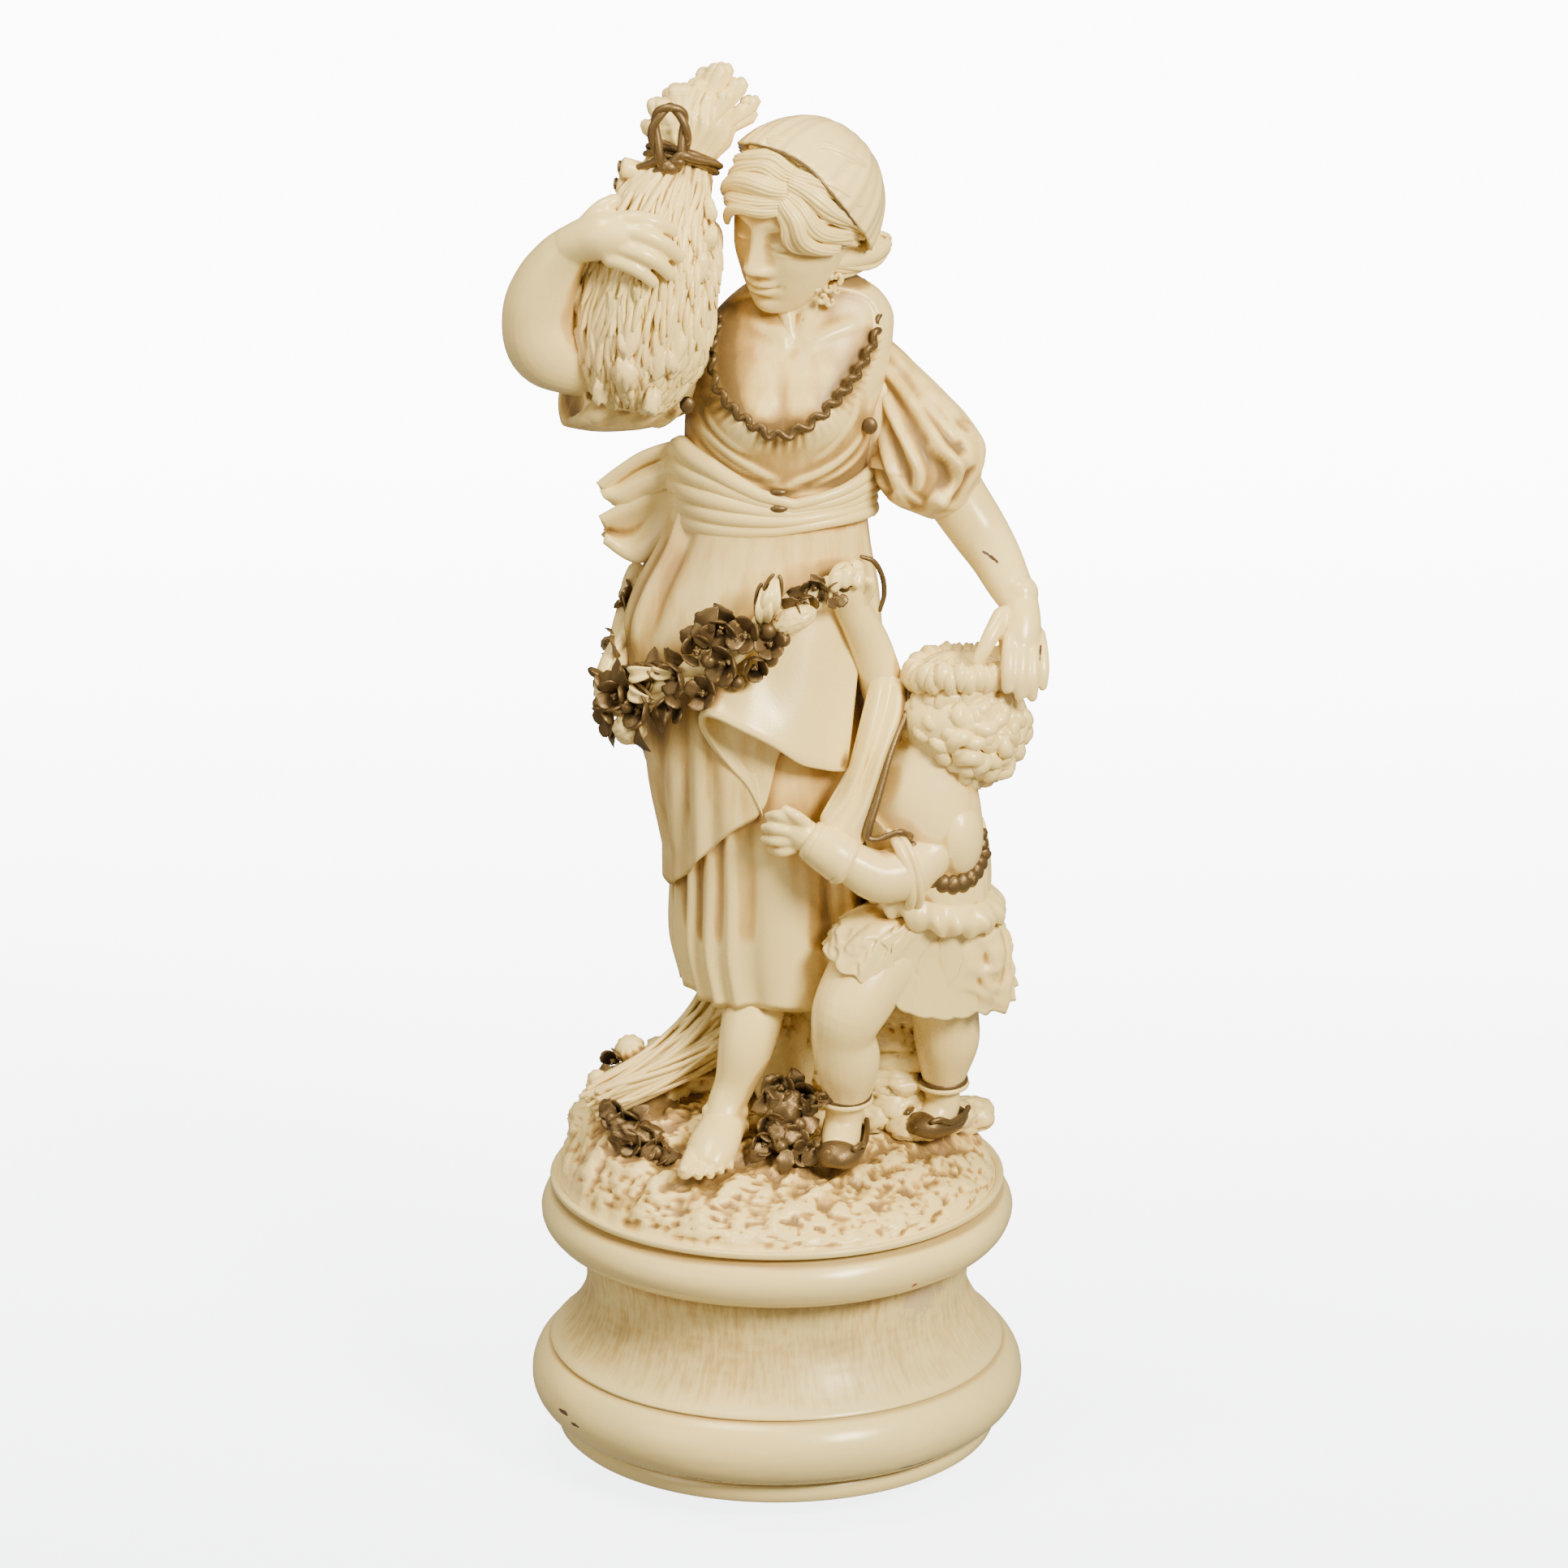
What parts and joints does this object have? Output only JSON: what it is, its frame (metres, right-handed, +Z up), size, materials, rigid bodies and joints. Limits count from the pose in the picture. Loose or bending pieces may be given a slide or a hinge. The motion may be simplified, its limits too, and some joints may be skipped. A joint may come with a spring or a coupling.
{
  "type": "mother and child statue",
  "caption": "Painted plaster figure group of a mother with a sheaf and a child, on a turned round plinth.",
  "frame": {"origin": "middle of the plinth's underside, on its turning axis", "axes": "+Z up along the plinth's turning axis, the figures face -Y, +X is the child's side"},
  "size_m": [0.2557, 0.2432, 0.6858],
  "materials": {
    "ivory_figure": "semi-gloss antique ivory paint on cast plaster, tan wash in the recesses, bronze-brown trims",
    "ivory_plinth": "semi-gloss ivory paint on turned plaster, dry-brushed waist, tan wash in the grooves"
  },
  "bodies": {
    "root": {"figure_group": "ivory_figure", "plinth": "ivory_plinth"}
  },
  "joints": []
}
